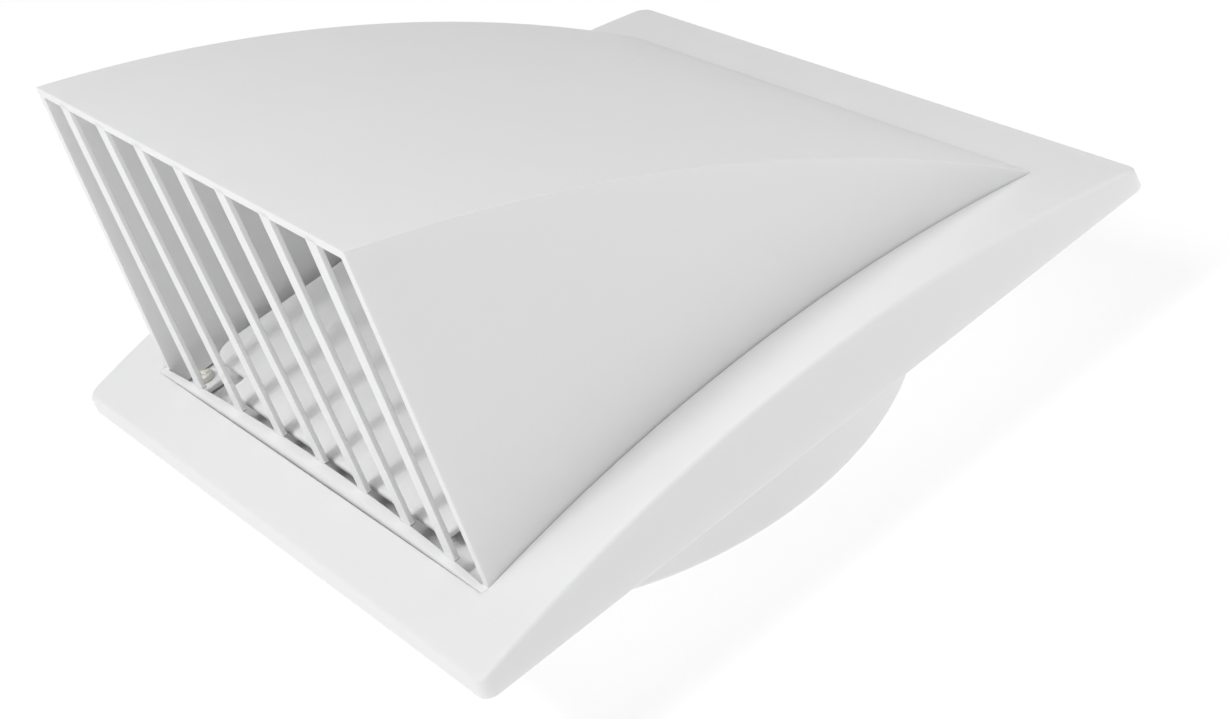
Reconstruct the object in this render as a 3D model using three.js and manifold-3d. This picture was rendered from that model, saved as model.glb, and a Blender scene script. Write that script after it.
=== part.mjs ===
// Cowled duct vent: a hood with a barred mouth over a back-draught flap, on an arched trim frame
// and a round duct spigot. Millimetres, +Z out of the wall, -Y towards the mouth.
// The origin is the centre of the spigot's lower rim.
import * as THREE from 'three';
import { mergeVertices } from 'three/addons/utils/BufferGeometryUtils.js';
import Module from 'manifold-3d';

const wasm = await Module();
wasm.setup();

// ---- driving dimensions ----
const GAP = 0.3; // between pieces that touch
const OVERCUT = 10; // how far a cutting solid runs past the faces it opens
const OVERLAP = 1; // how far two solids that are joined run into each other
const MERGE_DISTANCE = 1e-4; // closer vertices are one
const WALL = 2.2; // general moulding thickness

const SPIGOT_LENGTH = 30;
const SPIGOT_RADIUS = 74;
const SPIGOT_WALL = 2.4;
const SPIGOT_TAPER = 0.6; // radius lost towards the free rim
const SPIGOT_LEAD_IN = 1.2;

const WALL_Z = SPIGOT_LENGTH; // plane that lies on the wall
const TRIM_HALF_X = 98;
const TRIM_HALF_Y = 94.5;
const TRIM_CORNER = 3;
const TRIM_DRAFT = 0.06; // inset per millimetre of height
const ARCH_TOP = WALL_Z + 16.6;
const ARCH_RADIUS = 390;
const OPENING_HALF = 79.5;
const OPENING_CORNER = 1.2;

const PLATE_THICKNESS = 2.4;
const PLATE_TOP = WALL_Z + PLATE_THICKNESS;
const PLATE_INSET = WALL + 0.5; // from the trim's outer edge to the back plate's edge
const COLLAR_DEPTH = 5; // locating ring inside the spigot
const COLLAR_WALL = 2.2;
const SEAT_RADIUS = 63.5;
const SEAT_WALL = 2;
const SEAT_TOP = PLATE_TOP + 1.7;
const WALL_HOLE_RADIUS = 2.3;
const WALL_HOLE_X = 66;
const WALL_HOLE_Y = 58;
const GROOVE_OUTER_INSET = 3.3; // from the back plate's edge to the gasket groove
const GROOVE_WIDTH = 8;
const GROOVE_DEPTH = 1.2;

const HOOD_CLEARANCE = 0.35; // from the hood to the frame's opening
const HOOD_HALF = OPENING_HALF - HOOD_CLEARANCE;
const HOOD_SIDE_WALL = 2.6;
const HOOD_SKIRT_Z = PLATE_TOP + 0.6;
const HOOD_DRAFT = 0.0305; // side walls lean in, per millimetre of height
const SEAM_Z = WALL_Z + 8.4; // height of the trim where the hood leaves it, front and back
const MOUTH_FOOT_Y = -77.3; // the mouth leans back from here to the roof's front edge
const MOUTH_TOP_Y = -71.7;
const MOUTH_TOP_Z = WALL_Z + 90.4;
const ROOF_BACK_Z = SEAM_Z + 0.2;
const ROOF_SAGITTA = 9.1;

const RAIL_TOP = SEAM_Z + 0.2; // the rail is a flat ledge, level with the frame
const RAIL_FRONT_Y = -78.3; // at mid-width; a thin crescent slot is left in front of it
const RAIL_FRONT_BOW = 3400;
const RAIL_REAR_Y = -74.75; // at mid-width
const RAIL_REAR_BOW = 1100;
const BAR_COUNT = 7;
const BAR_PITCH = 20.5;
const BAR_WIDTH = 4.4;
const BAR_DEPTH = 1.25;
const BAR_EDGE = 0.4;
const BAR_TOP_Y = -71.9;

const BAR_FOOT_Z = RAIL_TOP - 0.7; // each bar starts behind the rail's rear edge

const LUG_X = 68.5;
const LUG_HALF_WIDTH = 4;
const LUG_REAR_Y = -68;
const LUG_TOP = WALL_Z + 4.5;
const SCREW_X = 69.3;
const SCREW_Y = -72;
const SCREW_SHANK_RADIUS = 1.4;
const SCREW_HOLE_RADIUS = 1.75;
const SCREW_HEAD_RADIUS = 2.4;
const SCREW_HEAD_HEIGHT = 1.7;
const SCREW_CROSS_WIDTH = 0.8;
const SCREW_CROSS_REACH = 1.6;
const SCREW_CROSS_DEPTH = 0.8;

const HINGE_Y = 69;
const HINGE_Z = WALL_Z + 6.2;
const ROD_RADIUS = 1.5;
const ROD_HALF_LENGTH = 73.2;
const BARREL_RADIUS = 2.4;
const BARREL_HALF_LENGTH = 68;
const BRACKET_GAP = 0.4; // from the flap's barrel to each bracket
const BRACKET_THICKNESS = 4;
const BRACKET_HALF_DEPTH = 3.8;
const BRACKET_TOP = HINGE_Z + 3;

const FLAP_TOP = WALL_Z + 7.7;
const FLAP_THICKNESS = 1.8;
const FLAP_HALF_X = 73.6;
const FLAP_FRONT_Y = -72.7;
const FLAP_CORNER = 1.6;
const FLAP_SHOULDER = 7; // the wide front corners behind the notches
const NOTCH_INNER_X = 53;
const NOTCH_REAR_Y = -67.2;
const REAR_NOTCH_Y = 61.5;
const SEAL_INNER_RADIUS = 61.5;
const SEAL_OUTER_RADIUS = 66.2;
const SEAL_THICKNESS = 1.2;
const GASKET_THICKNESS = 0.9;

const ROUND_STEPS = 64; // facets round the duct
const SMALL_STEPS = 20; // facets round pins and holes
const ARC_STEPS = 20; // facets along the arch and the roof

// ---- materials ----
const plastic = () => new THREE.MeshStandardMaterial({ color: 0xe4e5e8, roughness: 0.42, metalness: 0 });
const steel = () => new THREE.MeshStandardMaterial({ color: 0xb6b8ba, roughness: 0.35, metalness: 1 });
const zinc = () => new THREE.MeshStandardMaterial({ color: 0x9c9d92, roughness: 0.4, metalness: 1 });
const DARK_GREY = 0x3c3d3f;
const OFF_WHITE = 0xe3e3df;
const foam = (color) => new THREE.MeshStandardMaterial({ color, roughness: 0.9, metalness: 0 });

// ---- geometry helpers ----
function solid(geometry) {
  const bare = geometry.clone();
  bare.deleteAttribute('normal');
  bare.deleteAttribute('uv');
  const merged = mergeVertices(bare, MERGE_DISTANCE);
  const vertProperties = new Float32Array(merged.attributes.position.array);
  const triVerts = new Uint32Array(merged.index.array);
  return new wasm.Manifold(new wasm.Mesh({ numProp: 3, vertProperties, triVerts }));
}

function node(name, body, material) {
  const { vertProperties, triVerts } = body.getMesh();
  const geometry = new THREE.BufferGeometry();
  geometry.setAttribute('position', new THREE.BufferAttribute(new Float32Array(vertProperties), 3));
  geometry.setIndex(new THREE.BufferAttribute(new Uint32Array(triVerts), 1));
  geometry.computeVertexNormals();
  const mesh = new THREE.Mesh(geometry, material);
  mesh.name = name;
  return mesh;
}

// Upright prism on an outline in (x, y).
function uprightPrism(shape, bottom, top, curveSegments = 8) {
  const depth = top - bottom;
  const geometry = new THREE.ExtrudeGeometry(shape, { depth, bevelEnabled: false, curveSegments });
  geometry.translate(0, 0, bottom);
  return solid(geometry);
}

// Prism along X on an outline in (y, z).
function sidePrism(shape, left, right, curveSegments = ARC_STEPS) {
  const depth = right - left;
  const geometry = new THREE.ExtrudeGeometry(shape, { depth, bevelEnabled: false, curveSegments });
  geometry.translate(0, 0, left);
  const along = [new THREE.Vector3(0, 1, 0), new THREE.Vector3(0, 0, 1), new THREE.Vector3(1, 0, 0)];
  geometry.applyMatrix4(new THREE.Matrix4().makeBasis(...along));
  return solid(geometry);
}

// Straight-sided outline, each corner rounded by its own radius.
function roundedOutline(points, radii) {
  const shape = new THREE.Shape();
  points.forEach((corner, i) => {
    const radius = radii[i];
    const before = points[(i + points.length - 1) % points.length];
    const after = points[(i + 1) % points.length];
    const enter = corner.clone().add(before.clone().sub(corner).setLength(radius));
    const leave = corner.clone().add(after.clone().sub(corner).setLength(radius));
    if (i === 0) shape.moveTo(enter.x, enter.y);
    else shape.lineTo(enter.x, enter.y);
    shape.quadraticCurveTo(corner.x, corner.y, leave.x, leave.y);
  });
  shape.closePath();
  return shape;
}

function roundedRectangle(halfX, halfY, radius) {
  const signs = [[-1, -1], [1, -1], [1, 1], [-1, 1]];
  const corners = signs.map(([x, y]) => new THREE.Vector2(x * halfX, y * halfY));
  return roundedOutline(corners, corners.map(() => radius));
}

// Closed solid through equal-sized rings of points, from the lowest ring to the highest.
function loft(rings) {
  const count = rings[0].length;
  const positions = rings.flat().flatMap((p) => [p.x, p.y, p.z]);
  const indices = [];
  for (let r = 0; r + 1 < rings.length; r += 1) {
    for (let i = 0; i < count; i += 1) {
      const a = r * count + i;
      const b = r * count + ((i + 1) % count);
      indices.push(a, b, b + count, a, b + count, a + count);
    }
  }
  const last = (rings.length - 1) * count;
  for (let i = 1; i + 1 < count; i += 1) {
    indices.push(0, i + 1, i);
    indices.push(last, last + i, last + i + 1);
  }
  const geometry = new THREE.BufferGeometry();
  geometry.setAttribute('position', new THREE.Float32BufferAttribute(positions, 3));
  geometry.setIndex(indices);
  return solid(geometry);
}

function ringOf(shape, z, divisions = 6) {
  return shape.extractPoints(divisions).shape.map((p) => new THREE.Vector3(p.x, p.y, z));
}

function ringAround(outer, inner, bottom, top, steps = ROUND_STEPS) {
  const profile = [[inner, bottom], [outer, bottom], [outer, top], [inner, top], [inner, bottom]];
  const geometry = new THREE.LatheGeometry(profile.map(([r, z]) => new THREE.Vector2(r, z)), steps);
  geometry.rotateX(Math.PI / 2);
  return solid(geometry);
}

function disc(radius, bottom, top, x = 0, y = 0, steps = SMALL_STEPS) {
  const geometry = new THREE.CylinderGeometry(radius, radius, top - bottom, steps);
  geometry.rotateX(Math.PI / 2);
  geometry.translate(x, y, (bottom + top) / 2);
  return solid(geometry);
}

// Rod along X on the hinge axis.
function hingeRod(radius, left, right) {
  const geometry = new THREE.CylinderGeometry(radius, radius, right - left, SMALL_STEPS);
  geometry.rotateZ(Math.PI / 2);
  geometry.translate((left + right) / 2, HINGE_Y, HINGE_Z);
  return solid(geometry);
}

function block(x0, x1, y0, y1, z0, z1) {
  const geometry = new THREE.BoxGeometry(x1 - x0, y1 - y0, z1 - z0);
  geometry.translate((x0 + x1) / 2, (y0 + y1) / 2, (z0 + z1) / 2);
  return solid(geometry);
}

// ---- trim frame ----
// Everything below the frame's arched top, lowered by `drop`.
function underArch(drop) {
  const half = TRIM_HALF_Y + OVERCUT;
  const radius = ARCH_RADIUS - drop;
  const centreZ = ARCH_TOP - ARCH_RADIUS;
  const lean = Math.asin(half / radius);
  const shape = new THREE.Shape();
  shape.moveTo(-half, WALL_Z - OVERCUT);
  shape.lineTo(half, WALL_Z - OVERCUT);
  shape.absarc(0, centreZ, radius, Math.PI / 2 - lean, Math.PI / 2 + lean, false);
  shape.closePath();
  const reach = TRIM_HALF_X + OVERCUT;
  return sidePrism(shape, -reach, reach);
}

// Drafted block of the frame's plan, smaller all round by `inset`.
function trimBlock(inset, bottom) {
  const height = ARCH_TOP + OVERCUT - bottom;
  const halfX = TRIM_HALF_X - inset - TRIM_DRAFT * (bottom - WALL_Z);
  const halfY = TRIM_HALF_Y - inset - TRIM_DRAFT * (bottom - WALL_Z);
  const lower = roundedRectangle(halfX, halfY, TRIM_CORNER);
  const upper = roundedRectangle(halfX - TRIM_DRAFT * height, halfY - TRIM_DRAFT * height, TRIM_CORNER);
  return loft([ringOf(lower, bottom), ringOf(upper, bottom + height)]);
}

function trimFrame() {
  const opening = roundedRectangle(OPENING_HALF, OPENING_HALF, OPENING_CORNER);
  const openingWall = OPENING_HALF + WALL;
  const channel = trimBlock(WALL, PLATE_TOP)
    .intersect(underArch(WALL))
    .subtract(block(-openingWall, openingWall, -openingWall, openingWall, 0, ARCH_TOP + OVERCUT));
  const pocketX = TRIM_HALF_X - WALL;
  const pocketY = TRIM_HALF_Y - WALL;
  const pocket = block(-pocketX, pocketX, -pocketY, pocketY, WALL_Z - OVERCUT, PLATE_TOP + GAP);
  return trimBlock(0, WALL_Z)
    .intersect(underArch(0))
    .subtract(channel)
    .subtract(pocket)
    .subtract(uprightPrism(opening, WALL_Z - OVERCUT, ARCH_TOP + OVERCUT));
}

// ---- back plate, spigot and gasket ----
const PLATE_HALF_X = TRIM_HALF_X - PLATE_INSET;
const PLATE_HALF_Y = TRIM_HALF_Y - PLATE_INSET;

function gasketRing(clearance, depth) {
  const outset = GROOVE_OUTER_INSET + clearance;
  const inset = GROOVE_OUTER_INSET + GROOVE_WIDTH - clearance;
  const outer = block(
    -PLATE_HALF_X + outset, PLATE_HALF_X - outset, -PLATE_HALF_Y + outset, PLATE_HALF_Y - outset,
    WALL_Z, WALL_Z + depth,
  );
  const inner = block(
    -PLATE_HALF_X + inset, PLATE_HALF_X - inset, -PLATE_HALF_Y + inset, PLATE_HALF_Y - inset,
    WALL_Z - OVERCUT, WALL_Z + depth + OVERCUT,
  );
  return outer.subtract(inner);
}

function backPlate() {
  const collarOuter = SPIGOT_RADIUS - SPIGOT_WALL - GAP;
  const collarInner = collarOuter - COLLAR_WALL;
  const collar = ringAround(collarOuter, collarInner, WALL_Z - COLLAR_DEPTH, PLATE_TOP - OVERLAP);
  const seat = ringAround(SEAT_RADIUS + SEAT_WALL, SEAT_RADIUS, WALL_Z + OVERLAP, SEAT_TOP);
  let plate = uprightPrism(roundedRectangle(PLATE_HALF_X, PLATE_HALF_Y, TRIM_CORNER), WALL_Z, PLATE_TOP)
    .subtract(disc(SEAT_RADIUS, 0, ARCH_TOP, 0, 0, ROUND_STEPS))
    .add(collar)
    .add(seat)
    .subtract(gasketRing(0, GROOVE_DEPTH).add(gasketRing(0, GROOVE_DEPTH).translate([0, 0, -GROOVE_DEPTH])));
  for (const side of [-1, 1]) {
    plate = plate.subtract(disc(SCREW_HOLE_RADIUS, 0, ARCH_TOP, side * SCREW_X, SCREW_Y));
    for (const end of [-1, 1]) {
      plate = plate.subtract(disc(WALL_HOLE_RADIUS, 0, ARCH_TOP, side * WALL_HOLE_X, end * WALL_HOLE_Y));
    }
  }
  return plate;
}

function ductSpigot() {
  const inner = SPIGOT_RADIUS - SPIGOT_WALL;
  const rim = SPIGOT_RADIUS - SPIGOT_TAPER;
  const top = SPIGOT_LENGTH - GAP;
  const profile = [
    [inner, 0], [rim - SPIGOT_LEAD_IN / 2, 0], [rim, SPIGOT_LEAD_IN],
    [SPIGOT_RADIUS, top], [inner, top], [inner, 0],
  ];
  const geometry = new THREE.LatheGeometry(profile.map(([r, z]) => new THREE.Vector2(r, z)), ROUND_STEPS);
  geometry.rotateX(Math.PI / 2);
  return solid(geometry);
}

// ---- hood ----
// Circle through two points in (y, z) that bulges above their chord by `sagitta`.
function bulgingArc(front, back, sagitta) {
  const chord = back.clone().sub(front);
  const half = chord.length() / 2;
  const radius = (half * half + sagitta * sagitta) / (2 * sagitta);
  const below = new THREE.Vector2(chord.y, -chord.x).setLength(radius - sagitta);
  const centre = front.clone().add(back).multiplyScalar(0.5).add(below);
  return { centre, radius };
}

const roofArc = bulgingArc(
  new THREE.Vector2(MOUTH_TOP_Y, MOUTH_TOP_Z),
  new THREE.Vector2(HOOD_HALF, ROOF_BACK_Z),
  ROOF_SAGITTA,
);

// Angle on the roof circle, `drop` inside it, at a given y.
function roofAngle(y, drop) {
  return Math.acos((y - roofArc.centre.x) / (roofArc.radius - drop));
}

function roofHeight(y, drop) {
  return roofArc.centre.y + (roofArc.radius - drop) * Math.sin(roofAngle(y, drop));
}

// Block between the hood's two leaning side walls, narrower by `inset`.
function hoodBlock(inset, bottom) {
  const top = MOUTH_TOP_Z + OVERCUT;
  const reach = HOOD_HALF + OVERCUT;
  const levels = [[bottom, HOOD_HALF], [SEAM_Z, HOOD_HALF], [top, HOOD_HALF - HOOD_DRAFT * (top - SEAM_Z)]];
  return loft(levels.map(([z, half]) => [
    new THREE.Vector3(-half + inset, -reach, z),
    new THREE.Vector3(half - inset, -reach, z),
    new THREE.Vector3(half - inset, reach, z),
    new THREE.Vector3(-half + inset, reach, z),
  ]));
}

function hoodShell() {
  const outside = new THREE.Shape();
  outside.moveTo(-HOOD_HALF, HOOD_SKIRT_Z);
  outside.lineTo(HOOD_HALF, HOOD_SKIRT_Z);
  outside.lineTo(HOOD_HALF, ROOF_BACK_Z);
  const { centre, radius } = roofArc;
  outside.absarc(centre.x, centre.y, radius, roofAngle(HOOD_HALF, 0), roofAngle(MOUTH_TOP_Y, 0), false);
  outside.lineTo(MOUTH_FOOT_Y, RAIL_TOP);
  outside.lineTo(-HOOD_HALF, RAIL_TOP);
  outside.closePath();

  const backWall = HOOD_HALF - WALL;
  const pastMouth = -HOOD_HALF - OVERCUT;
  const inside = new THREE.Shape();
  inside.moveTo(pastMouth, HOOD_SKIRT_Z - OVERCUT);
  inside.lineTo(backWall, HOOD_SKIRT_Z - OVERCUT);
  inside.lineTo(backWall, roofHeight(backWall, WALL));
  const [fromAngle, toAngle] = [backWall, pastMouth].map((y) => roofAngle(y, WALL));
  inside.absarc(centre.x, centre.y, radius - WALL, fromAngle, toAngle, false);
  inside.closePath();

  const reach = HOOD_HALF + OVERCUT;
  const outer = sidePrism(outside, -reach, reach).intersect(hoodBlock(0, HOOD_SKIRT_Z - OVERCUT));
  const hollow = hoodBlock(HOOD_SIDE_WALL, HOOD_SKIRT_Z - 2 * OVERCUT);
  const inner = sidePrism(inside, -reach, reach).intersect(hollow);
  return outer.subtract(inner);
}

// ---- mouth grille ----
// Where a face of the bowed rail stands at a given x.
function bowed(middle, radius, x) {
  return middle - radius + Math.sqrt(radius ** 2 - x ** 2);
}

function grilleRail() {
  const half = HOOD_HALF - HOOD_SIDE_WALL - GAP;
  const shape = new THREE.Shape();
  const [rear, front] = [RAIL_REAR_BOW, RAIL_FRONT_BOW].map((radius) => Math.asin(half / radius));
  const quarter = Math.PI / 2;
  shape.absarc(0, RAIL_REAR_Y - RAIL_REAR_BOW, RAIL_REAR_BOW, quarter + rear, quarter - rear, true);
  shape.absarc(0, RAIL_FRONT_Y - RAIL_FRONT_BOW, RAIL_FRONT_BOW, quarter - front, quarter + front, false);
  shape.closePath();
  let rail = uprightPrism(shape, HOOD_SKIRT_Z, RAIL_TOP, ARC_STEPS);
  const lugFront = bowed(RAIL_REAR_Y, RAIL_REAR_BOW, LUG_X) - OVERLAP;
  for (const side of [-1, 1]) {
    const x = side * LUG_X;
    rail = rail
      .add(block(x - LUG_HALF_WIDTH, x + LUG_HALF_WIDTH, lugFront, LUG_REAR_Y, HOOD_SKIRT_Z, LUG_TOP))
      .subtract(disc(SCREW_HOLE_RADIUS, 0, ARCH_TOP, side * SCREW_X, SCREW_Y));
  }
  return rail;
}

// Flat bar with eased front edges, from behind the rail's rear edge up to the roof.
function grilleBar(x) {
  const half = BAR_WIDTH / 2;
  const section = [
    [-half, BAR_DEPTH], [-half, BAR_EDGE], [-half + BAR_EDGE, 0],
    [half - BAR_EDGE, 0], [half, BAR_EDGE], [half, BAR_DEPTH],
  ];
  const levels = [
    [BAR_FOOT_Z, bowed(RAIL_REAR_Y, RAIL_REAR_BOW, Math.max(0, Math.abs(x) - half)) + GAP],
    [roofHeight(BAR_TOP_Y, WALL) - GAP - BAR_DEPTH / 2, BAR_TOP_Y],
  ];
  return loft(levels.map(([z, y]) => section.map(([dx, dy]) => new THREE.Vector3(x + dx, y + dy, z))));
}

// Pan-head screw with a cross recess, driven through the lug into the back plate.
function coverScrew(x) {
  const headBottom = LUG_TOP + GAP;
  const headTop = headBottom + SCREW_HEAD_HEIGHT;
  const half = SCREW_CROSS_WIDTH / 2;
  const reach = SCREW_CROSS_REACH;
  const low = headTop - SCREW_CROSS_DEPTH;
  const high = headTop + OVERLAP;
  const cross = block(x - reach, x + reach, SCREW_Y - half, SCREW_Y + half, low, high)
    .add(block(x - half, x + half, SCREW_Y - reach, SCREW_Y + reach, low, high));
  return disc(SCREW_HEAD_RADIUS, headBottom, headTop, x, SCREW_Y)
    .add(disc(SCREW_SHANK_RADIUS, WALL_Z + GAP, headBottom + SCREW_CROSS_DEPTH / 2, x, SCREW_Y))
    .subtract(cross);
}

// ---- back-draught flap ----
function hingeBracket(side) {
  const near = BARREL_HALF_LENGTH + BRACKET_GAP;
  const far = near + BRACKET_THICKNESS;
  const [left, right] = side > 0 ? [near, far] : [-far, -near];
  const front = HINGE_Y - BRACKET_HALF_DEPTH;
  const rear = HINGE_Y + BRACKET_HALF_DEPTH;
  return block(left, right, front, rear, PLATE_TOP + GAP, BRACKET_TOP)
    .subtract(hingeRod(ROD_RADIUS + GAP, left - OVERLAP, right + OVERLAP));
}

function flapPlate() {
  const half = [
    [NOTCH_INNER_X, FLAP_FRONT_Y, FLAP_CORNER],
    [NOTCH_INNER_X, NOTCH_REAR_Y, FLAP_CORNER],
    [FLAP_HALF_X, NOTCH_REAR_Y, FLAP_SHOULDER],
    [FLAP_HALF_X, REAR_NOTCH_Y, FLAP_CORNER],
    [BARREL_HALF_LENGTH, REAR_NOTCH_Y, FLAP_CORNER],
    [BARREL_HALF_LENGTH, HINGE_Y, FLAP_CORNER],
  ];
  const corners = [...half, ...half.map(([x, y, radius]) => [-x, y, radius]).reverse()];
  const outline = roundedOutline(
    corners.map(([x, y]) => new THREE.Vector2(x, y)),
    corners.map(([, , radius]) => radius),
  );
  return uprightPrism(outline, FLAP_TOP - FLAP_THICKNESS, FLAP_TOP)
    .add(hingeRod(BARREL_RADIUS, -BARREL_HALF_LENGTH, BARREL_HALF_LENGTH))
    .subtract(hingeRod(ROD_RADIUS + GAP, -ROD_HALF_LENGTH, ROD_HALF_LENGTH));
}

function flapSeal() {
  const top = FLAP_TOP - FLAP_THICKNESS - GAP;
  return ringAround(SEAL_OUTER_RADIUS, SEAL_INNER_RADIUS, top - SEAL_THICKNESS, top);
}

// ---- assembly ----
const vent = new THREE.Group();
vent.name = 'cowled_duct_vent';
vent.add(node('back_plate', backPlate(), plastic()));
vent.add(node('duct_spigot', ductSpigot(), plastic()));
vent.add(node('wall_gasket', gasketRing(GAP, GASKET_THICKNESS), foam(DARK_GREY)));
vent.add(node('trim_frame', trimFrame(), plastic()));
vent.add(node('hood_shell', hoodShell(), plastic()));
vent.add(node('grille_rail', grilleRail(), plastic()));
for (let i = 0; i < BAR_COUNT; i += 1) {
  const x = (i - (BAR_COUNT - 1) / 2) * BAR_PITCH;
  vent.add(node(`grille_bar_${i + 1}`, grilleBar(x), plastic()));
}
vent.add(node('cover_screw_left', coverScrew(-SCREW_X), zinc()));
vent.add(node('cover_screw_right', coverScrew(SCREW_X), zinc()));
vent.add(node('hinge_bracket_left', hingeBracket(-1), plastic()));
vent.add(node('hinge_bracket_right', hingeBracket(1), plastic()));
vent.add(node('flap_plate', flapPlate(), plastic()));
vent.add(node('flap_hinge_rod', hingeRod(ROD_RADIUS, -ROD_HALF_LENGTH, ROD_HALF_LENGTH), steel()));
vent.add(node('flap_seal', flapSeal(), foam(OFF_WHITE)));

export default vent;
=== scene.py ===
"""Cowled duct vent: fine surfaces, materials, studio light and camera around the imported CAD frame.

Metres, in the part's own frame: +Z out of the wall, -Y towards the mouth, and the origin at the
centre of the spigot's lower rim. Places come from the CAD nodes' boxes.
"""

import math

import bmesh
import bpy
from mathutils import Matrix, Vector


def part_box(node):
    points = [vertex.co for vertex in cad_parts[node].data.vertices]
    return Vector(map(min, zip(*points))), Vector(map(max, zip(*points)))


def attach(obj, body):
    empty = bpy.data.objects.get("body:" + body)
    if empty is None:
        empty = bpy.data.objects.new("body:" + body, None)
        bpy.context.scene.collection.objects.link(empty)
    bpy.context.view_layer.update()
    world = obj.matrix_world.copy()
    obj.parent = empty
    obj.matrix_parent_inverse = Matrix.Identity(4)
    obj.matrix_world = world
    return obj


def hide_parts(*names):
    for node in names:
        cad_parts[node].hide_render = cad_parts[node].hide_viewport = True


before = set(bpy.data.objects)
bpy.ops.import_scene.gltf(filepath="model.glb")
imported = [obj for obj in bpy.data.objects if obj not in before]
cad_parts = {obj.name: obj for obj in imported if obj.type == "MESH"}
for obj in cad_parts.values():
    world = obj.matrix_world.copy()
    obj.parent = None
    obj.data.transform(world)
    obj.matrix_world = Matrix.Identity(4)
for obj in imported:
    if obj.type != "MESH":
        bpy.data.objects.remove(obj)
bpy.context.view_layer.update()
scene = bpy.context.scene
MM = 0.001

# ---- planes and places, from the CAD boxes ----
WALL_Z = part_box("trim_frame")[0].z  # plane that lies on the wall
ARCH_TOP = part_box("trim_frame")[1].z
HOOD_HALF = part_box("hood_shell")[1].x
SKIRT_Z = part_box("hood_shell")[0].z
RAIL_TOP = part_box("grille_rail")[1].z
SEAM_Z = WALL_Z + 8.4 * MM  # where the hood leaves the frame, front and back
PLATE_TOP = WALL_Z + 2.4 * MM

# ---- mouldings ----
GAP = 0.3 * MM
WALL = 2.2 * MM
SIDE_WALL = 2.6 * MM
TRIM_DRAFT = 0.06
TRIM_CORNER = 3.0 * MM
ARCH_RADIUS = 390 * MM
OPENING_HALF = HOOD_HALF + 0.08 * MM  # the frame's opening, close round the hood
OPENING_CORNER = 1.2 * MM
HOOD_DRAFT = 0.0305
MOUTH_FOOT_Y = -77.3 * MM
MOUTH_TOP = Vector((-71.7 * MM, WALL_Z + 90.4 * MM))  # (y, z)
ROOF_BACK_Z = SEAM_Z + 0.2 * MM
ROOF_SAGITTA = 9.1 * MM
ROOF_STATIONS = 110
RAIL_FRONT_Y = -78.3 * MM  # at mid-width, as RAIL_REAR_Y is
RAIL_FRONT_BOW = 3400 * MM
RAIL_REAR_Y = -74.75 * MM
RAIL_REAR_BOW = 1100 * MM
RAIL_CORNER = 0.5 * MM
RAIL_STATIONS = 30  # on each side of the middle
SLOT_DEPTH = 4.6 * MM
BAR_DEPTH = 1.25 * MM
BAR_TOP_Y = -71.9 * MM
MERGE = 0.6 * MM  # how far one part of a moulding runs into the next
HINGE = Vector((0, 69 * MM, WALL_Z + 6.2 * MM))
HINGE_BORE = 1.8 * MM
SPIGOT_WALL = 2.4 * MM
ROUND_STEPS = 192


# ---- mesh helpers ----
def link(name, mesh):
    piece = bpy.data.objects.new(name, mesh)
    scene.collection.objects.link(piece)
    return piece


def mesh_piece(name, vertices, faces):
    """Closed smooth-shaded piece with its faces pointing out."""
    mesh = bpy.data.meshes.new(name)
    mesh.from_pydata([tuple(v) for v in vertices], [], faces)
    bm = bmesh.new()
    bm.from_mesh(mesh)
    bmesh.ops.remove_doubles(bm, verts=bm.verts, dist=1e-7)
    return finish_mesh(name, bm, mesh)


def finish_mesh(name, bm, mesh=None):
    mesh = mesh or bpy.data.meshes.new(name)
    bmesh.ops.recalc_face_normals(bm, faces=bm.faces)
    for face in bm.faces:
        face.smooth = True
    bm.to_mesh(mesh)
    bm.free()
    piece = link(name, mesh)
    weigh_normals(piece)
    return piece


def weigh_normals(piece):
    """Large faces keep their own normals, and the narrow rounded edges blend between them."""
    weighted = piece.modifiers.new("weighted_normals", "WEIGHTED_NORMAL")
    weighted.mode = "FACE_AREA"
    weighted.weight = 50


def merged(name, *pieces):
    """One piece holding the closed shells of several."""
    bm = bmesh.new()
    for piece in pieces:
        bm.from_mesh(piece.data)
        bpy.data.objects.remove(piece)
    return finish_mesh(name, bm)


def settle(piece, body, slot_name, material, *nodes):
    """The piece rides on its body, stands for its CAD nodes, and gets its finish."""
    piece.data.materials.clear()
    piece.data.materials.append(material)
    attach(piece, body)
    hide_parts(*nodes)
    return piece


def skin(loops, closed=False):
    """Vertices and quads through equal loops; closed also joins the last loop to the first."""
    count = len(loops[0])
    vertices = [v for loop in loops for v in loop]
    faces = []
    for j in range(len(loops) if closed else len(loops) - 1):
        a = j * count
        b = ((j + 1) % len(loops)) * count
        for i in range(count):
            k = (i + 1) % count
            faces.append((a + i, a + k, b + k, b + i))
    return vertices, faces


def capped(loops):
    vertices, faces = skin(loops)
    count = len(loops[0])
    last = (len(loops) - 1) * count
    faces.append(tuple(range(count)))
    faces.append(tuple(last + i for i in range(count)))
    return vertices, faces


def quarter(radius, steps=4):
    """(inset, drop) pairs over a rounded edge, from the flat face to the side."""
    turns = [math.pi / 2 * s / steps for s in range(steps + 1)]
    return [(radius * (1 - math.sin(a)), radius * (1 - math.cos(a))) for a in turns]


def lathe(name, profile, steps=ROUND_STEPS, place=Matrix.Identity(4)):
    """Ring turned from a closed (radius, height) profile about Z, then moved by `place`."""
    loops = []
    for r, z in profile:
        turns = (2 * math.pi * i / steps for i in range(steps))
        loops.append([place @ Vector((r * math.cos(a), r * math.sin(a), z)) for a in turns])
    return mesh_piece(name, *skin(loops, closed=True))


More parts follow.
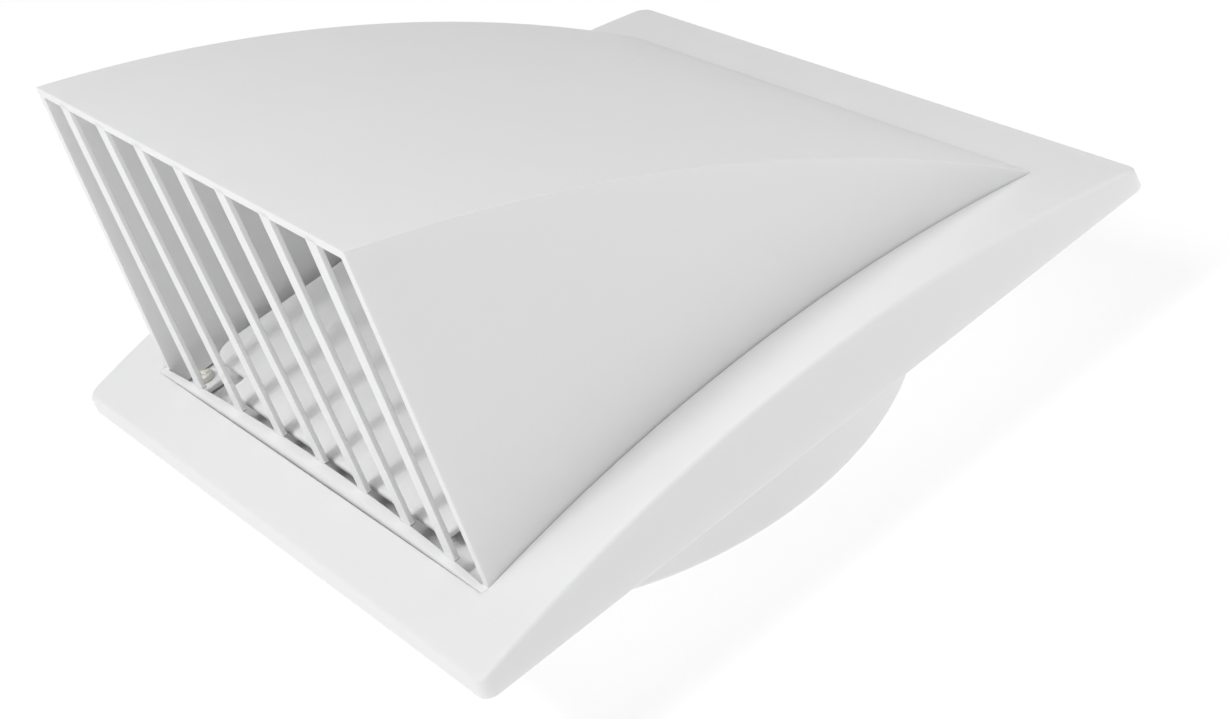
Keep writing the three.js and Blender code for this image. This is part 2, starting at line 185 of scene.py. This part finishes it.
def tube_profile(inner, outer, low, high, edge):
    """Closed section of a tube, its four edges rounded."""
    corners = [(outer, high, 1, -1), (outer, low, 1, 1), (inner, low, -1, 1), (inner, high, -1, -1)]
    profile = []
    for k, (r, z, side, up) in enumerate(corners):
        arc = [(r - side * inset, z + up * drop) for inset, drop in quarter(edge, 3)]
        profile += arc if k % 2 == 0 else arc[::-1]
    return profile


def circle(x, y, radius, steps, clockwise=False):
    turns = [2 * math.pi * i / steps for i in range(steps)]
    points = [Vector((x + radius * math.cos(a), y + radius * math.sin(a))) for a in turns]
    return points[::-1] if clockwise else points


def rounded(corners, radii, steps=6):
    """Outline with an arc at each of its right-angled corners, of one radius or one each."""
    points = []
    for i, corner in enumerate(corners):
        radius = radii[i] if isinstance(radii, list) else radii
        enter = corner + (corners[i - 1] - corner).normalized() * radius
        leave = corner + (corners[(i + 1) % len(corners)] - corner).normalized() * radius
        centre = enter + leave - corner
        for step in range(steps + 1):
            a = math.pi / 2 * step / steps
            points.append(centre + (enter - centre) * math.cos(a) + (leave - centre) * math.sin(a))
    return points


def rectangle(half_x, half_y, radius, clockwise=False):
    signs = [(-1, -1), (1, -1), (1, 1), (-1, 1)]
    points = rounded([Vector((sx * half_x, sy * half_y)) for sx, sy in signs], radius)
    return points[::-1] if clockwise else points


def moved_left(points, distance):
    """Each point of a closed outline moved to the left of its direction of travel."""
    shifted = []
    for i, point in enumerate(points):
        before = (point - points[i - 1]).normalized()
        after = (points[(i + 1) % len(points)] - point).normalized()
        bisector = (before + after).normalized()
        left = Vector((-bisector.y, bisector.x))
        stretch = max(0.5, math.cos(before.angle(after) / 2))
        shifted.append(point + left * (distance / stretch))
    return shifted


def slab(name, outlines, low, high, edge, place=Matrix.Identity(4)):
    """Plate on an anticlockwise outline and clockwise holes, every edge rounded."""
    bm = bmesh.new()
    steps = quarter(edge)
    levels = [(inset, high - drop) for inset, drop in steps]
    levels += [(inset, low + drop) for inset, drop in reversed(steps)]
    rims = ([], [])
    for outline in outlines:
        rings = []
        for inset, z in levels:
            ring = moved_left(outline, inset)
            rings.append([bm.verts.new(place @ Vector((p.x, p.y, z))) for p in ring])
        for upper, lower in zip(rings, rings[1:]):
            for i in range(len(upper)):
                bm.faces.new((upper[i - 1], upper[i], lower[i], lower[i - 1]))
        for rim, ring in zip(rims, (rings[0], rings[-1])):
            rim += [bm.edges.get((ring[i - 1], ring[i])) for i in range(len(ring))]
    for rim in rims:
        bmesh.ops.triangle_fill(bm, edges=rim, use_beauty=True, use_dissolve=False)
    return finish_mesh(name, bm)


ALONG_X = Matrix(((0, 0, 1, 0), (1, 0, 0, 0), (0, 1, 0, 0), (0, 0, 0, 1)))  # local Z runs along X


# ---- trim frame ----
def arch(drop=0.0):
    """Height of the frame's arched top at a given y."""
    return lambda y: ARCH_TOP - ARCH_RADIUS + math.sqrt((ARCH_RADIUS - drop) ** 2 - y * y)


def level(z):
    return lambda y: z


def framing_loop(half_x, half_y, radius, height, draft=0.0, side_steps=32, corner_steps=6):
    """Rounded rectangle at the given height, its sides cut into equal steps."""
    signs = [(-1, -1), (1, -1), (1, 1), (-1, 1)]
    corners = [Vector((sx * half_x, sy * half_y)) for sx, sy in signs]
    arcs = rounded(corners, radius, corner_steps)
    points = []
    for i, point in enumerate(arcs):
        points.append(point)
        if i % (corner_steps + 1) == corner_steps:
            ahead = arcs[(i + 1) % len(arcs)]
            points += [point.lerp(ahead, s / side_steps) for s in range(1, side_steps)]
    loop = []
    for point in points:
        z = height(point.y)
        lean = draft * (z - WALL_Z)
        loop.append(Vector((point.x * (1 - lean / half_x), point.y * (1 - lean / half_y), z)))
    return loop


def trim_frame():
    """Hollow frame with an arched top, drafted sides and a square opening."""
    half_x, half_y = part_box("trim_frame")[1].xy
    foot_edge = 0.3 * MM
    top_edge = 1.0 * MM
    opening_edge = 0.2 * MM
    edge_margin = 2.8 * MM  # left out of the flat that is divided
    loops = []

    def outer(inset, height):
        loops.append(framing_loop(half_x - inset, half_y - inset, TRIM_CORNER, height, TRIM_DRAFT))

    def opening(reach, height):
        loops.append(framing_loop(reach, reach, OPENING_CORNER, height))

    outer(foot_edge, level(WALL_Z))
    outer(0, level(WALL_Z + foot_edge))
    edge = quarter(top_edge, 6)
    for inset, drop in reversed(edge):
        outer(inset, arch(drop))
    flat_width = half_x - OPENING_HALF - edge_margin
    for share in (0.3, 0.6, 0.85):
        outer(edge[0][0] + share * flat_width, arch())
    for inset, drop in quarter(opening_edge, 3):
        opening(OPENING_HALF + inset, arch(drop))
    foot = PLATE_TOP + GAP
    opening(OPENING_HALF, level(foot))
    opening(OPENING_HALF + WALL, level(foot))
    opening(OPENING_HALF + WALL, arch(WALL))
    outer(WALL, arch(WALL))
    outer(WALL, level(WALL_Z))
    return mesh_piece("trim_frame_moulding", *skin(loops, closed=True))


# ---- hood ----
def roof_circle():
    """(centre, radius) in (y, z) of the circle through the roof's front and back edges."""
    back = Vector((HOOD_HALF, ROOF_BACK_Z))
    chord = back - MOUTH_TOP
    half = chord.length / 2
    radius = (half * half + ROOF_SAGITTA**2) / (2 * ROOF_SAGITTA)
    below = Vector((chord.y, -chord.x)).normalized() * (radius - ROOF_SAGITTA)
    return (MOUTH_TOP + back) / 2 + below, radius


ROOF_CENTRE, ROOF_RADIUS = roof_circle()


def roof_height(y, drop=0.0):
    return ROOF_CENTRE.y + math.sqrt((ROOF_RADIUS - drop) ** 2 - (y - ROOF_CENTRE.x) ** 2)


def mouth_y(z):
    """The mouth plane leans back from the rail's level to the roof's front edge."""
    share = (z - RAIL_TOP) / (MOUTH_TOP.y - RAIL_TOP)
    return MOUTH_FOOT_Y + max(0.0, share) * (MOUTH_TOP.x - MOUTH_FOOT_Y)


def hood_half(z):
    return HOOD_HALF - HOOD_DRAFT * max(0.0, z - SEAM_Z)


def hood_stations(side_inset, roof_drop, back_y):
    """Inverted-U sections of the hood's outside or inside, from the mouth to the back wall."""
    least_wall = 1.5 * MM
    front_y = MOUTH_TOP.x
    for _ in range(8):  # closes in on where the roof meets the mouth plane
        front_y = mouth_y(roof_height(front_y, roof_drop))
    sections = []
    for i in range(ROOF_STATIONS + 1):
        share = i / ROOF_STATIONS
        y = front_y + share * (back_y - front_y)
        foot_y = MOUTH_FOOT_Y + share * (back_y - MOUTH_FOOT_Y)
        roof_z = roof_height(y, roof_drop)
        seam_z = min(RAIL_TOP, roof_z - least_wall)
        side = [(foot_y, SKIRT_Z), (foot_y, seam_z), (y, roof_z)]
        right = [Vector((hood_half(z) - side_inset, v, z)) for v, z in side]
        left = [Vector((-p.x, p.y, p.z)) for p in right]
        sections.append(left + right[::-1])
    return sections


def hood_shell():
    outer = hood_stations(0, 0, HOOD_HALF)
    inner = hood_stations(SIDE_WALL, WALL, HOOD_HALF - WALL)
    count = len(outer[0])
    bm = bmesh.new()
    outside = [[bm.verts.new(p) for p in section] for section in outer]
    inside = [[bm.verts.new(p) for p in section] for section in inner]
    for sheet in (outside, inside):
        for a, b in zip(sheet, sheet[1:]):
            for k in range(count - 1):
                bm.faces.new((a[k], a[k + 1], b[k + 1], b[k]))
        bm.faces.new(sheet[-1])
    for k in range(count - 1):
        bm.faces.new((outside[0][k], outside[0][k + 1], inside[0][k + 1], inside[0][k]))
    for k in (0, count - 1):
        for i in range(ROOF_STATIONS):
            bm.faces.new((outside[i][k], outside[i + 1][k], inside[i + 1][k], inside[i][k]))
    bm.faces.new((outside[-1][0], outside[-1][-1], inside[-1][-1], inside[-1][0]))
    bmesh.ops.recalc_face_normals(bm, faces=bm.faces)
    weigh_hood_edges(bm)
    piece = finish_mesh("hood_moulding", bm)
    bevel = piece.modifiers.new("eased_edges", "BEVEL")
    bevel.limit_method = "WEIGHT"
    bevel.width = 0.3 * MM
    bevel.segments = 4
    piece.modifiers.move(1, 0)
    return piece


def weigh_hood_edges(bm):
    """The roof's side creases are rounded most, and the other edges less."""
    near = 0.01 * MM
    weight = bm.edges.layers.float.new("bevel_weight_edge")
    for edge in bm.edges:
        if len(edge.link_faces) != 2 or edge.calc_face_angle(0) < math.radians(30):
            continue
        a, b = (v.co for v in edge.verts)
        on_crease = all(abs(roof_height(p.y) - p.z) < near for p in (a, b))
        runs_back = abs(a.y - b.y) > 10 * near
        edge[weight] = 1.0 if on_crease and runs_back else 0.7


# ---- mouth grille ----
def bowed(middle, radius, x):
    """Where a face of the bowed rail stands at a given x."""
    return middle - radius + math.sqrt(radius**2 - x * x)


def rail_rear(x):
    return bowed(RAIL_REAR_Y, RAIL_REAR_BOW, x)


def eased(reach, radius):
    """How far a rounded end falls back, at a distance from its tip."""
    if reach >= radius:
        return 0.0
    return radius - math.sqrt(radius**2 - (radius - reach) ** 2)


def rail_section(x):
    """Closed (y, z) outline: a front edge softest at mid-width, a crisp rear edge and eased ends.

    Low down, the front face steps forward and closes the slot between the rail and the frame.
    """
    tip = HOOD_HALF - abs(x)
    crisp = 0.25 * MM
    soft = 0.3 * MM + 1.4 * MM * (1 - (x / HOOD_HALF) ** 2)
    front = bowed(RAIL_FRONT_Y, RAIL_FRONT_BOW, x) + eased(tip, RAIL_CORNER)
    rear = rail_rear(x) if tip > SIDE_WALL else MOUTH_FOOT_Y + MERGE
    top = RAIL_TOP - eased(tip, 0.4 * MM)
    points = [(rear, SKIRT_Z)]
    points += [(rear - inset, top - drop) for inset, drop in reversed(quarter(crisp, 3))]
    points += [(front + inset, top - drop) for inset, drop in quarter(soft, 8)]
    step = min(front, -OPENING_HALF + 0.1 * MM)
    step_top = RAIL_TOP - SLOT_DEPTH
    points += [(front, step_top), (step, step_top - 0.2 * MM), (step, SKIRT_Z)]
    return [Vector((x, y, z)) for y, z in points]


def grille_rail():
    """The ledge at the mouth's foot, and the two screw lugs behind it."""
    ends = [HOOD_HALF - RAIL_CORNER * (1 - math.cos(math.pi / 2 * k / 8)) for k in range(9)]
    inner = HOOD_HALF - SIDE_WALL
    near = 0.01 * MM
    half = ends + [inner + near, inner - near]
    span = half[-1]
    middle = [span * (1 - k / RAIL_STATIONS) for k in range(1, 2 * RAIL_STATIONS)]
    stations = half + middle + [-x for x in reversed(half)]
    ledge = mesh_piece("ledge", *capped([rail_section(x) for x in stations]))
    lugs = [screw_lug(side) for side in (-1, 1)]
    return merged("grille_rail_moulding", ledge, *lugs)


SCREW_LOW, SCREW_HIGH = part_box("cover_screw_right")
SCREW_X = (SCREW_LOW.x + SCREW_HIGH.x) / 2
SCREW_Y = (SCREW_LOW.y + SCREW_HIGH.y) / 2
SCREW_HOLE = 1.75 * MM
LUG_X = 68.5 * MM
LUG_HALF_WIDTH = 4 * MM
LUG_TOP = WALL_Z + 4.5 * MM


def screw_hole(side):
    return circle(side * SCREW_X, SCREW_Y, SCREW_HOLE, 32, clockwise=True)


def screw_lug(side):
    """Low block behind the ledge's end, bored for the cover screw."""
    left = side * LUG_X - LUG_HALF_WIDTH
    right = side * LUG_X + LUG_HALF_WIDTH
    front = rail_rear(LUG_X) - MERGE
    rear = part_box("grille_rail")[1].y
    corners = [(left, front), (right, front), (right, rear), (left, rear)]
    outline = rounded([Vector(c) for c in corners], 0.7 * MM)
    return slab("lug", [outline, screw_hole(side)], SKIRT_Z, LUG_TOP, 0.35 * MM)


def grille_bar(index):
    """Flat bar that grows out of the ledge's rear edge by a small fillet."""
    low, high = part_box(f"grille_bar_{index}")
    x = (low.x + high.x) / 2
    half = (high.x - low.x) / 2
    foot_y = rail_rear(x)
    head_z = roof_height(BAR_TOP_Y, WALL) + MERGE
    fillet = 0.4 * MM
    flare = 0.3  # of the fillet's reach, sideways
    edge = 0.2 * MM
    heights = [-fillet, 0] + [fillet * (1 - math.cos(math.pi / 2 * k / 6)) for k in range(1, 7)]
    heights += [fillet * 2, head_z - RAIL_TOP]
    loops = []
    for height in heights:
        share = max(0.0, height) / (head_z - RAIL_TOP)
        front = foot_y + share * (BAR_TOP_Y - foot_y)
        reach = eased(max(0.0, height), fillet)
        wide = half + reach * flare
        corners = [(-wide, -reach), (wide, -reach), (wide, BAR_DEPTH), (-wide, BAR_DEPTH)]
        section = rounded([Vector(c) for c in corners], edge, 4)
        loops.append([Vector((x + p.x, front + p.y, RAIL_TOP + height)) for p in section])
    return mesh_piece(f"bar_{index}", *capped(loops))


# ---- screws ----
def turned(name, profile, place, turns=48):
    """Solid turned about Z from a profile that starts and ends on the axis."""
    loops = []
    for r, z in profile:
        angles = (2 * math.pi * i / turns for i in range(turns))
        loops.append([place @ Vector((r * math.cos(a), r * math.sin(a), z)) for a in angles])
    return mesh_piece(name, *skin(loops))


def cover_screw(side):
    """Pan-head screw with a cross recess, its shank in the lug and the back plate."""
    radius = (SCREW_HIGH.x - SCREW_LOW.x) / 2
    top = SCREW_HIGH.z
    head_low = top - 1.7 * MM
    crown = 0.25 * MM
    edge = 0.7 * MM
    shank = 1.4 * MM
    tip = 0.5 * MM
    profile = [(0, top)]
    profile += [(radius * share, top - crown * share * share) for share in (0.25, 0.5, 0.7)]
    for inset, drop in quarter(edge, 5):
        profile.append((radius - inset, top - crown - drop))
    profile += [(radius, head_low), (shank, head_low), (shank, SCREW_LOW.z + tip)]
    profile += [(shank - tip, SCREW_LOW.z), (0, SCREW_LOW.z)]
    place = Matrix.Translation((side * SCREW_X, SCREW_Y, 0))
    piece = turned("screw_left" if side < 0 else "screw_right", profile, place)
    cut_cross(piece, side * SCREW_X, top)
    return piece


def cut_cross(piece, x, face):
    """Cuts the driver's cross into a screw head."""
    arm = 1.6 * MM
    half_width = 0.4 * MM
    depth = 0.8 * MM
    outline = []
    for turn in range(4):
        spin = Matrix.Rotation(math.pi / 2 * turn, 2)
        for corner in ((half_width, half_width), (arm, half_width), (arm, -half_width)):
            outline.append(Vector((x, SCREW_Y)) + spin.transposed() @ Vector(corner))
    outline.reverse()
    levels = (face - depth, face + depth)
    loops = [[Vector((p.x, p.y, z)) for p in outline] for z in levels]
    cutter = mesh_piece("cutter", *capped(loops))
    cutter.modifiers.clear()
    cut = piece.modifiers.new("cross", "BOOLEAN")
    cut.operation = "DIFFERENCE"
    cut.solver = "EXACT"
    cut.object = cutter
    piece.modifiers.move(1, 0)
    graph = bpy.context.evaluated_depsgraph_get()
    mesh = bpy.data.meshes.new_from_object(piece.evaluated_get(graph))
    piece.modifiers.clear()
    piece.data = mesh
    weigh_normals(piece)
    bpy.data.objects.remove(cutter)


# ---- back plate, spigot and gasket ----
GROOVE_OUTER = 3.3 * MM  # from the plate's edge
GROOVE_WIDTH = 8 * MM
GROOVE_DEPTH = 1.2 * MM
WALL_HOLE = 2.3 * MM
WALL_HOLE_X = 66 * MM
WALL_HOLE_Y = 58 * MM
SEAT_RADIUS = 63.5 * MM
SEAT_WIDTH = 2 * MM
SEAT_TOP = WALL_Z + 4.1 * MM


def plate_holes():
    """The duct's opening, two cover-screw holes and four wall-screw holes."""
    holes = [circle(0, 0, SEAT_RADIUS, ROUND_STEPS, clockwise=True)]
    holes += [screw_hole(side) for side in (-1, 1)]
    for side in (-1, 1):
        for end in (-1, 1):
            x = side * WALL_HOLE_X
            y = end * WALL_HOLE_Y
            holes.append(circle(x, y, WALL_HOLE, 40, clockwise=True))
    return holes


def back_plate():
    """Plate with a gasket groove below, a raised seat and a collar that locates the spigot."""
    half_x, half_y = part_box("back_plate")[1].xy
    groove_x = half_x - GROOVE_OUTER
    groove_y = half_y - GROOVE_OUTER
    outline = rectangle(half_x, half_y, TRIM_CORNER)
    groove_corner = 0.4 * MM
    rim_inner = rectangle(groove_x, groove_y, groove_corner, clockwise=True)
    core_outline = rectangle(groove_x - GROOVE_WIDTH, groove_y - GROOVE_WIDTH, groove_corner)
    split = WALL_Z + GROOVE_DEPTH
    under = split + MERGE
    sheet = slab("sheet", [outline, *plate_holes()], split, PLATE_TOP, 0.25 * MM)
    rim = slab("rim", [outline, rim_inner], WALL_Z, under, 0.2 * MM)
    core = slab("core", [core_outline, *plate_holes()], WALL_Z, under, 0.2 * MM)
    edge = 0.5 * MM
    seat = lathe("seat", tube_profile(SEAT_RADIUS, SEAT_RADIUS + SEAT_WIDTH, split, SEAT_TOP, edge))
    collar_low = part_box("back_plate")[0].z
    collar_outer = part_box("duct_spigot")[1].x - SPIGOT_WALL - GAP
    collar = lathe("collar", tube_profile(collar_outer - WALL, collar_outer, collar_low, split, edge))
    return merged("back_plate_moulding", sheet, rim, core, seat, collar)


def duct_spigot():
    """Slightly tapered tube whose outer rim is rounded to lead into the duct."""
    low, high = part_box("duct_spigot")
    outer = high.x
    inner = outer - SPIGOT_WALL
    rim = outer - 0.6 * MM
    lead_in = 1.2 * MM
    profile = [(inner, high.z), (inner, low.z + 0.4 * MM), (inner + 0.12 * MM, low.z + 0.12 * MM)]
    profile += [(inner + 0.4 * MM, low.z), (rim - 0.75 * MM, low.z)]
    for step in range(1, 6):
        a = math.pi / 2 * step / 6
        profile.append((rim - 0.6 * MM * (1 - math.sin(a)), low.z + lead_in * (1 - math.cos(a))))
    profile += [(rim, low.z + lead_in), (outer, high.z - 0.3 * MM), (outer - 0.3 * MM, high.z)]
    return lathe("spigot_tube", profile)


def wall_gasket():
    low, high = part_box("wall_gasket")
    width = GROOVE_WIDTH - 2 * GAP
    corner = 0.8 * MM
    outer = rectangle(high.x, high.y, corner)
    inner = rectangle(high.x - width, high.y - width, corner, clockwise=True)
    return slab("gasket_strip", [outer, inner], low.z, high.z, 0.25 * MM)


# ---- back-draught flap ----
BARREL_HALF = 68 * MM
BARREL_RADIUS = 2.4 * MM


def flap_plate():
    """Plate with notched front corners and round shoulders, on a barrel bored for the rod."""
    low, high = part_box("flap_plate")
    front = low.y
    notch_x = 53 * MM
    notch_y = -67.2 * MM
    rear_notch_y = 61.5 * MM
    rear = HINGE.y - 2.05 * MM
    small = 1.6 * MM
    shoulder = 7 * MM
    half = [
        (notch_x, front, small), (notch_x, notch_y, small), (high.x, notch_y, shoulder),
        (high.x, rear_notch_y, small), (BARREL_HALF, rear_notch_y, small), (BARREL_HALF, rear, small),
    ]
    corners = [Vector((x, y)) for x, y, _ in half] + [Vector((-x, y)) for x, y, _ in reversed(half)]
    radii = [r for _, _, r in half] + [r for _, _, r in reversed(half)]
    top = WALL_Z + 7.7 * MM
    plate = slab("plate", [rounded(corners, radii)], top - 1.8 * MM, top, 0.75 * MM)
    section = tube_profile(HINGE_BORE, BARREL_RADIUS, -BARREL_HALF, BARREL_HALF, 0.2 * MM)
    barrel = lathe("barrel", section, 48, Matrix.Translation(HINGE) @ ALONG_X)
    return merged("flap_moulding", plate, barrel)


def hinge_rod():
    low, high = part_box("flap_hinge_rod")
    radius = (high.z - low.z) / 2
    ease = 0.4 * MM
    ends = [(0, -high.x), (radius - ease, -high.x), (radius, -high.x + ease)]
    profile = ends + [(r, -x) for r, x in reversed(ends)]
    return turned("hinge_rod_ground", profile, Matrix.Translation(HINGE) @ ALONG_X)


def flap_seal():
    low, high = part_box("flap_seal")
    width = 4.7 * MM
    return lathe("flap_seal_ring", tube_profile(high.x - width, high.x, low.z, high.z, 0.35 * MM))


def hinge_bracket(name):
    """Cheek with a rounded head, bored for the rod."""
    low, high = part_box(name)
    foot = low.z
    corners = [(low.y, foot), (high.y, foot), (high.y, high.z), (low.y, high.z)]
    outline = rounded([Vector(c) for c in corners], 1.4 * MM)
    hole = circle(HINGE.y, HINGE.z, HINGE_BORE, 40, clockwise=True)
    return slab(name + "_cheek", [outline, hole], low.x, high.x, 0.35 * MM, ALONG_X)


# ---- materials ----
def shader(name):
    material = bpy.data.materials.new(name)
    material.use_nodes = True
    nodes = material.node_tree.nodes
    links = material.node_tree.links
    return material, nodes, links, nodes["Principled BSDF"]


def noise(nodes, links, scale, detail=3.0, stretch=(1, 1, 1)):
    place = nodes.new("ShaderNodeTexCoord")
    mapping = nodes.new("ShaderNodeMapping")
    mapping.inputs["Scale"].default_value = stretch
    texture = nodes.new("ShaderNodeTexNoise")
    texture.inputs["Scale"].default_value = scale
    texture.inputs["Detail"].default_value = detail
    links.new(place.outputs["Object"], mapping.inputs["Vector"])
    links.new(mapping.outputs["Vector"], texture.inputs["Vector"])
    return texture.outputs["Fac"]


def ranged(nodes, links, value, low, high, start=0.3, end=0.7):
    """Spreads a node's value from start..end to low..high."""
    spread = nodes.new("ShaderNodeMapRange")
    spread.inputs["From Min"].default_value = start
    spread.inputs["From Max"].default_value = end
    spread.inputs["To Min"].default_value = low
    spread.inputs["To Max"].default_value = high
    links.new(value, spread.inputs["Value"])
    return spread.outputs["Result"]


def blended(nodes, links, factor, first, second):
    mix = nodes.new("ShaderNodeMix")
    mix.data_type = "RGBA"
    for socket, colour in ((mix.inputs[6], first), (mix.inputs[7], second)):
        if isinstance(colour, tuple):
            socket.default_value = (*colour, 1)
        else:
            links.new(colour, socket)
    links.new(factor, mix.inputs[0])
    return mix.outputs[2]


def bumped(nodes, links, surface, height, strength, distance, after=None):
    bump = nodes.new("ShaderNodeBump")
    bump.inputs["Strength"].default_value = strength
    bump.inputs["Distance"].default_value = distance
    links.new(height, bump.inputs["Height"])
    if after is not None:
        links.new(after, bump.inputs["Normal"])
    links.new(bump.outputs["Normal"], surface.inputs["Normal"])
    return bump.outputs["Normal"]


def moulded_plastic(name, light, dark):
    """Satin ABS: faint tone drift, fine grain, a painted highlight that lightens the convex edges, and
    some light let in under the skin.
    """
    material, nodes, links, surface = shader(name)
    drift = ranged(nodes, links, noise(nodes, links, 22), 0, 1)
    tone = blended(nodes, links, drift, light, dark)
    # Painted highlight: convex edges, found by Pointiness, are lightened in the base colour.
    edges = nodes.new("ShaderNodeNewGeometry").outputs["Pointiness"]
    edge_highlight = ranged(nodes, links, edges, 0, 0.35, 0.5, 0.62)
    highlight_tone = tuple(min(1.0, c * 1.05) for c in light)
    links.new(blended(nodes, links, edge_highlight, tone, highlight_tone), surface.inputs["Base Color"])
    gloss = ranged(nodes, links, noise(nodes, links, 140), 0.42, 0.52)
    links.new(gloss, surface.inputs["Roughness"])
    grain = noise(nodes, links, 2600, 2)
    ripple = noise(nodes, links, 60, 1)
    soft = bumped(nodes, links, surface, ripple, 0.12, 0.25 * MM)
    bumped(nodes, links, surface, grain, 0.10, 0.04 * MM, soft)
    surface.inputs["IOR"].default_value = 1.5
    surface.inputs["Specular IOR Level"].default_value = 0.3
    surface.inputs["Subsurface Weight"].default_value = 0.3
    surface.inputs["Subsurface Radius"].default_value = (1, 1, 1)
    surface.inputs["Subsurface Scale"].default_value = 2 * MM
    return material


def foam(name, tone):
    """Closed-cell foam: small round cells, dull and slightly mottled."""
    material, nodes, links, surface = shader(name)
    mottle = ranged(nodes, links, noise(nodes, links, 300), 0, 1)
    deep = tuple(c * 0.8 for c in tone)
    links.new(blended(nodes, links, mottle, tone, deep), surface.inputs["Base Color"])
    cells = nodes.new("ShaderNodeTexVoronoi")
    cells.inputs["Scale"].default_value = 1400
    links.new(nodes.new("ShaderNodeTexCoord").outputs["Object"], cells.inputs["Vector"])
    bumped(nodes, links, surface, cells.outputs["Distance"], 0.5, 0.2 * MM)
    surface.inputs["Roughness"].default_value = 0.9
    return material


def plated_metal(name, light, dark, roughness, stretch):
    """Metal with a stretched grain and a faint stain."""
    material, nodes, links, surface = shader(name)
    stain = ranged(nodes, links, noise(nodes, links, 500), 0, 1)
    links.new(blended(nodes, links, stain, light, dark), surface.inputs["Base Color"])
    grain = noise(nodes, links, 900, 3, stretch)
    links.new(ranged(nodes, links, grain, roughness - 0.08, roughness + 0.1), surface.inputs["Roughness"])
    bumped(nodes, links, surface, grain, 0.15, 0.03 * MM)
    surface.inputs["Metallic"].default_value = 1
    return material


# ---- camera, floor and light ----
def make_camera():
    """Three-quarter view on the mouth and the right side, the camera rolled as it was held."""
    azimuth = math.radians(67.52)
    elevation = math.radians(31.78)
    roll = math.radians(-24.52)
    distance = 0.6429
    aim = Vector((7.8 * MM, -1.6 * MM, 17.4 * MM))
    flat = math.cos(elevation)
    back = Vector((math.sin(azimuth) * flat, -math.cos(azimuth) * flat, math.sin(elevation)))
    camera = bpy.data.cameras.new("camera")
    camera.sensor_width = 36
    camera.lens = 78.94
    camera.clip_start = 0.01
    eye = bpy.data.objects.new("camera", camera)
    side = Vector((0, 0, 1)).cross(back).normalized()
    turn = Matrix((side, back.cross(side), back)).transposed().to_4x4()
    eye.matrix_world = Matrix.Translation(aim + distance * back) @ turn @ Matrix.Rotation(roll, 4, "Z")
    scene.collection.objects.link(eye)
    scene.camera = eye


def make_floor():
    """Light table: a pale floor that glows, so shadows on it stay faint."""
    reach = 12
    floor = bpy.data.meshes.new("floor")
    corners = [(-reach, -reach, 0), (reach, -reach, 0), (reach, reach, 0), (-reach, reach, 0)]
    floor.from_pydata(corners, [], [(0, 1, 2, 3)])
    material, nodes, links, surface = shader("pale_floor")
    surface.inputs["Base Color"].default_value = (0.35, 0.35, 0.35, 1)
    surface.inputs["Roughness"].default_value = 0.9
    surface.inputs["Emission Color"].default_value = (1, 1, 1, 1)
    surface.inputs["Emission Strength"].default_value = 0.75
    floor.materials.append(material)
    link("floor", floor)


def area_light(name, place, aim, size, power):
    light = bpy.data.lights.new(name, "AREA")
    light.shape = "SQUARE"
    light.size = size
    light.energy = power
    lamp = bpy.data.objects.new(name, light)
    lamp.location = place
    lamp.rotation_euler = (Vector(place) - Vector(aim)).to_track_quat("Z", "Y").to_euler()
    scene.collection.objects.link(lamp)


def make_light():
    """White surroundings, a small key above the mouth, a soft top light and a faint one behind."""
    world = bpy.data.worlds.new("studio")
    world.use_nodes = True
    world.node_tree.nodes["Background"].inputs["Color"].default_value = (1, 1, 1, 1)
    world.node_tree.nodes["Background"].inputs["Strength"].default_value = 0.37
    scene.world = world
    middle = (0, -0.03, 0.05)
    area_light("key", (0, -0.62, 0.88), middle, 0.14, 2.5)
    area_light("top", (0, -0.35, 1.15), middle, 0.5, 3.5)
    area_light("back", (0.28, 0.3, 0.2), (0.08, 0.05, 0.06), 0.2, 0.21)
    scene.view_settings.view_transform = "Standard"


# ---- assembly ----
make_camera()
make_floor()
make_light()

white = moulded_plastic("satin_white_abs", (0.930, 0.931, 0.934), (0.916, 0.917, 0.920))
# Painted light: the flap's copy of the white plastic is a shade lighter, to lift the flap in the shade
# inside the hood.
flap_white_lightened = moulded_plastic("satin_white_flap_lightened", (0.935, 0.936, 0.938), (0.921, 0.922, 0.924))
dark_foam = foam("dark_foam", (0.06, 0.06, 0.065))
pale_foam = foam("pale_foam", (0.78, 0.78, 0.76))
steel = plated_metal("drawn_steel", (0.62, 0.63, 0.64), (0.5, 0.51, 0.52), 0.28, (0.02, 1, 1))
zinc = plated_metal("olive_zinc", (0.84, 0.84, 0.79), (0.78, 0.78, 0.72), 0.7, (1, 1, 1))

settle(trim_frame(), "root", "white_plastic", white, "trim_frame")
settle(hood_shell(), "root", "white_plastic", white, "hood_shell")
settle(grille_rail(), "root", "white_plastic", white, "grille_rail")
for index in range(1, 8):
    settle(grille_bar(index), "root", "white_plastic", white, f"grille_bar_{index}")
settle(back_plate(), "root", "white_plastic", white, "back_plate")
settle(duct_spigot(), "root", "white_plastic", white, "duct_spigot")
settle(wall_gasket(), "root", "gasket_foam", dark_foam, "wall_gasket")
settle(cover_screw(-1), "root", "screw_zinc", zinc, "cover_screw_left")
settle(cover_screw(1), "root", "screw_zinc", zinc, "cover_screw_right")
for name in ("hinge_bracket_left", "hinge_bracket_right"):
    settle(hinge_bracket(name), "root", "white_plastic", white, name)
settle(flap_plate(), "flap", "flap_plastic", flap_white_lightened, "flap_plate")
settle(hinge_rod(), "flap", "rod_steel", steel, "flap_hinge_rod")
settle(flap_seal(), "flap", "seal_foam", pale_foam, "flap_seal")
